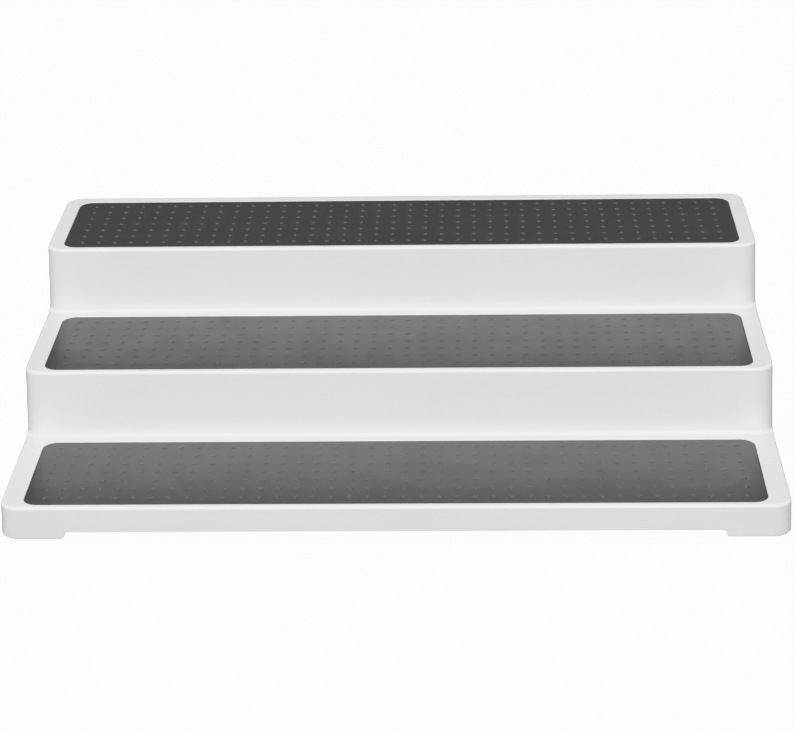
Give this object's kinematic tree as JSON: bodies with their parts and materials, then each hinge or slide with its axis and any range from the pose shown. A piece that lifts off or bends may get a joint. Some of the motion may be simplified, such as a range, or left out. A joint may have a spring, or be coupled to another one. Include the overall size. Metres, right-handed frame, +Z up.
{
  "type": "tiered shelf riser",
  "caption": "Stepped cupboard riser: a hollow white moulded body with wide treads, a dark dotted grip mat let into each tread, and push-in foot pads under its corner feet.",
  "frame": {"origin": "centre of the footprint on the surface that the foot pads stand on", "axes": "+X to the right along the treads, -Y out of the low front step, +Z up"},
  "size_m": [0.381, 0.2476, 0.0889],
  "materials": {
    "body_plastic": "white injection moulding, satin to glossy, with soft moulded edges",
    "mat_rubber": "warm dark grey soft rubber with a fine grain and a soft sheen",
    "foot_rubber": "plain grey soft rubber"
  },
  "bodies": {
    "root": {"shelf_body": "body_plastic", "mat_bottom": "mat_rubber", "mat_middle": "mat_rubber", "mat_top": "mat_rubber", "foot_pad_front_left": "foot_rubber", "foot_pad_front_right": "foot_rubber", "foot_pad_rear_left": "foot_rubber", "foot_pad_rear_right": "foot_rubber"}
  },
  "joints": []
}
